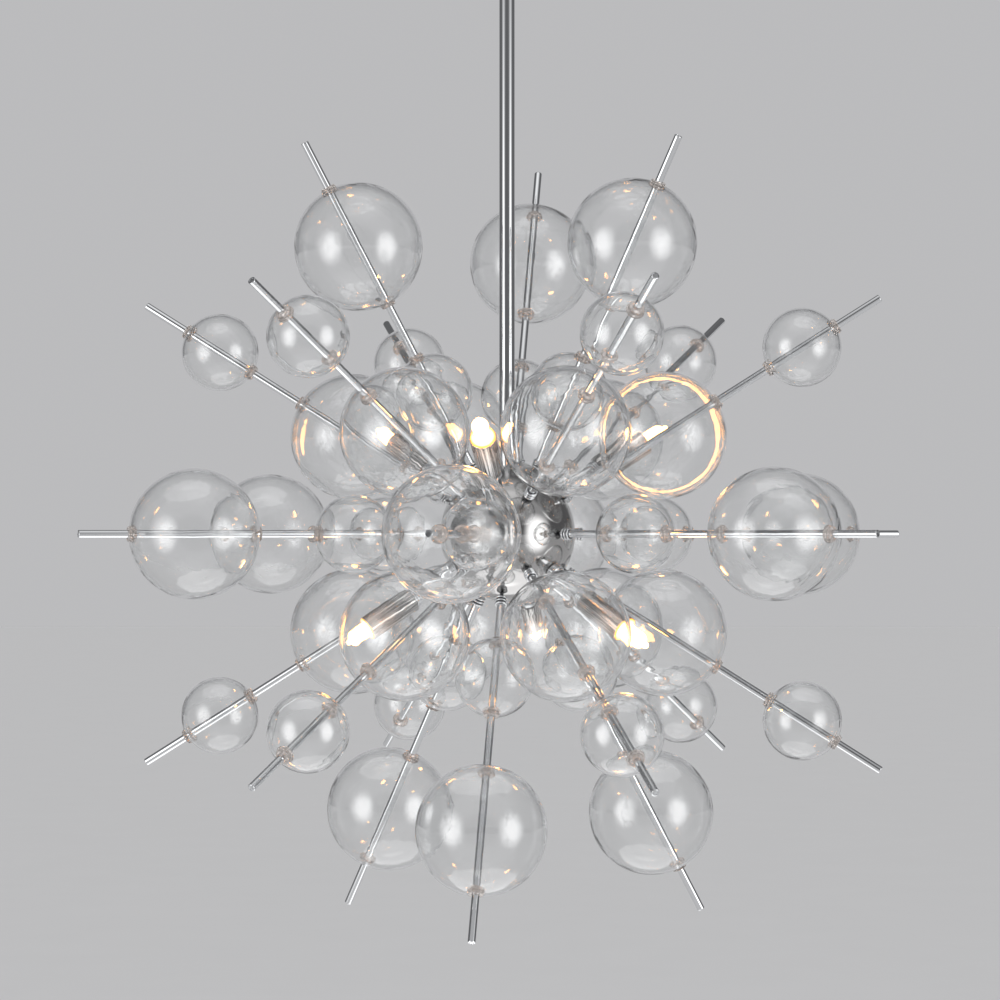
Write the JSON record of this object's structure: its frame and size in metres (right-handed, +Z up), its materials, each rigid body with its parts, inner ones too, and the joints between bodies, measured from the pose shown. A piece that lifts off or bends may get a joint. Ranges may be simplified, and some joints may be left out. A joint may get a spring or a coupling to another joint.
{
  "type": "bubble chandelier",
  "caption": "Ceiling-hung bubble chandelier: polished rods stand out of a polished ball, each through a large and a small clear globe, with small lamps between them.",
  "frame": {"origin": "centre of the ceiling bracket's top face, where it meets the ceiling", "axes": "+Z up into the ceiling, -Y towards the viewer of the picture, +X to the viewer's right"},
  "size_m": [0.843, 0.8902, 1.0355],
  "materials": {
    "polished_chrome": "polished chrome plate",
    "bracket_steel": "zinc-plated steel",
    "swivel_brass": "turned brass",
    "clear_glass": "clear blown glass",
    "rod_and_globe": "clear blown glass globe on a polished chrome tube",
    "lamp_chrome": "polished chrome sleeve with a warm white bulb"
  },
  "bodies": {
    "ceiling_mount": {"ceiling_bracket": "bracket_steel", "canopy": "polished_chrome"},
    "swivel": {"swivel_ball": "swivel_brass"},
    "pendant": {"stem": "polished_chrome", "stem_nut": "swivel_brass", "hub_ball": "polished_chrome", "rod_equator_1": "rod_and_globe", "rod_equator_2": "rod_and_globe", "rod_equator_3": "rod_and_globe", "rod_equator_4": "rod_and_globe", "rod_equator_5": "rod_and_globe", "rod_equator_6": "rod_and_globe", "rod_upper_1": "rod_and_globe", "rod_upper_2": "rod_and_globe", "rod_upper_3": "rod_and_globe", "rod_upper_4": "rod_and_globe", "rod_upper_5": "rod_and_globe", "rod_upper_6": "rod_and_globe", "rod_lower_1": "rod_and_globe", "rod_lower_2": "rod_and_globe", "rod_lower_3": "rod_and_globe", "rod_lower_4": "rod_and_globe", "rod_lower_5": "rod_and_globe", "rod_lower_6": "rod_and_globe", "rod_top_1": "rod_and_globe", "rod_top_2": "rod_and_globe", "rod_top_3": "rod_and_globe", "rod_bottom_1": "rod_and_globe", "rod_bottom_2": "rod_and_globe", "rod_bottom_3": "rod_and_globe", "large_globe_equator_1": "clear_glass", "large_globe_equator_2": "clear_glass", "large_globe_equator_3": "clear_glass", "large_globe_equator_4": "clear_glass", "large_globe_equator_5": "clear_glass", "large_globe_equator_6": "clear_glass", "large_globe_upper_1": "clear_glass", "large_globe_upper_2": "clear_glass", "large_globe_upper_3": "clear_glass", "large_globe_upper_4": "clear_glass", "large_globe_upper_5": "clear_glass", "large_globe_upper_6": "clear_glass", "large_globe_lower_1": "clear_glass", "large_globe_lower_2": "clear_glass", "large_globe_lower_3": "clear_glass", "large_globe_lower_4": "clear_glass", "large_globe_lower_5": "clear_glass", "large_globe_lower_6": "clear_glass", "large_globe_top_1": "clear_glass", "large_globe_top_2": "clear_glass", "large_globe_top_3": "clear_glass", "large_globe_bottom_1": "clear_glass", "large_globe_bottom_2": "clear_glass", "large_globe_bottom_3": "clear_glass", "lamp_upper_1": "lamp_chrome", "lamp_upper_2": "lamp_chrome", "lamp_upper_3": "lamp_chrome", "lamp_lower_1": "lamp_chrome", "lamp_lower_2": "lamp_chrome", "lamp_lower_3": "lamp_chrome"}
  },
  "joints": [
    {"name": "swivel_tilt", "type": "hinge", "parent": "ceiling_mount", "child": "swivel", "pos_m": [0, 0, -0.03], "axis": [0, 1, 0], "range_deg": [-20, 20]},
    {"name": "stem_turn", "type": "hinge", "parent": "swivel", "child": "pendant", "pos_m": [0, 0, -0.03], "axis": [0, 0, 1], "range_deg": [-170, 170]}
  ]
}
